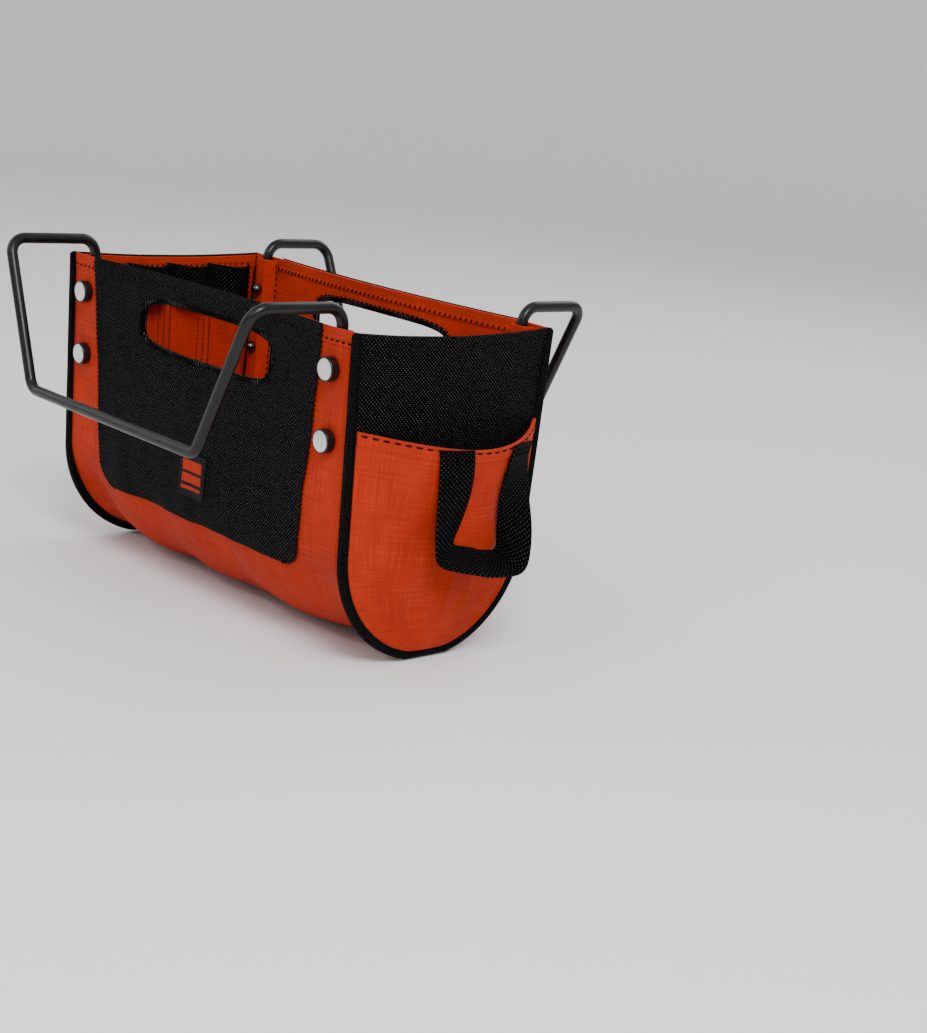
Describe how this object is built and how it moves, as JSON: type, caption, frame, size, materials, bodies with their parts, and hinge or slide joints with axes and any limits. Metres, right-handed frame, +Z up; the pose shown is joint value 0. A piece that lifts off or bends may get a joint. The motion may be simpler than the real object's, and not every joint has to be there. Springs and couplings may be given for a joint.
{
  "type": "tool bucket organizer",
  "caption": "Soft-sided open tool bag with a rounded base, hand slots, end pockets and a webbing hammer loop, hung from bent steel rod hooks.",
  "frame": {"origin": "middle of the rear hook, on the line where its two arms rest on a rung", "axes": "+X along the bag towards the end with the hammer loop, +Y to the rear (the ladder side), +Z up"},
  "size_m": [0.3927, 0.2889, 0.231],
  "materials": {
    "orange_fabric": "woven polyester, matt, with faint slubs",
    "black_nylon": "coarse ballistic nylon, matt",
    "black_webbing": "woven webbing and binding tape",
    "label": "woven patch",
    "rod_finish": "satin black powder coat",
    "collar_plastic": "satin black",
    "zinc_steel": "bright zinc",
    "dark_steel": "black nickel"
  },
  "bodies": {
    "bag": {"base_fabric": "orange_fabric", "binding_left": "black_webbing", "binding_right": "black_webbing", "collar_front_left_lower": "collar_plastic", "collar_front_left_upper": "collar_plastic", "collar_front_right_lower": "collar_plastic", "collar_front_right_upper": "collar_plastic", "collar_rear_left_lower": "collar_plastic", "collar_rear_left_upper": "collar_plastic", "collar_rear_right_lower": "collar_plastic", "collar_rear_right_upper": "collar_plastic", "dome_nut_front_left_lower": "dark_steel", "dome_nut_front_left_upper": "dark_steel", "dome_nut_front_right_lower": "dark_steel", "dome_nut_front_right_upper": "dark_steel", "dome_nut_rear_left_lower": "dark_steel", "dome_nut_rear_left_upper": "dark_steel", "dome_nut_rear_right_lower": "dark_steel", "dome_nut_rear_right_upper": "dark_steel", "end_lining_left": "orange_fabric", "end_lining_right": "orange_fabric", "end_panel_left": "black_nylon", "end_panel_right": "black_nylon", "end_pocket_left": "orange_fabric", "end_pocket_right": "orange_fabric", "front_hook_rod": "rod_finish", "front_panel": "black_nylon", "front_wall": "orange_fabric", "label_patch": "label", "rear_hook_rod": "rod_finish", "rear_panel": "black_nylon", "rear_wall": "orange_fabric", "rod_sleeve_front_left": "orange_fabric", "rod_sleeve_front_right": "orange_fabric", "rod_sleeve_rear_left": "orange_fabric", "rod_sleeve_rear_right": "orange_fabric", "screw_front_left_lower": "zinc_steel", "screw_front_left_upper": "zinc_steel", "screw_front_right_lower": "zinc_steel", "screw_front_right_upper": "zinc_steel", "screw_rear_left_lower": "zinc_steel", "screw_rear_left_upper": "zinc_steel", "screw_rear_right_lower": "zinc_steel", "screw_rear_right_upper": "zinc_steel", "tool_band_left": "black_webbing", "tool_band_right": "black_webbing"},
    "hammer_loop": {"hammer_loop": "black_webbing"}
  },
  "joints": [
    {"name": "hammer_loop_swing", "type": "hinge", "parent": "bag", "child": "hammer_loop", "pos_m": [0.18717, -0.0903, -0.07625], "axis": [0.0729, -0.9973, 0], "range_deg": [0, 70]}
  ]
}
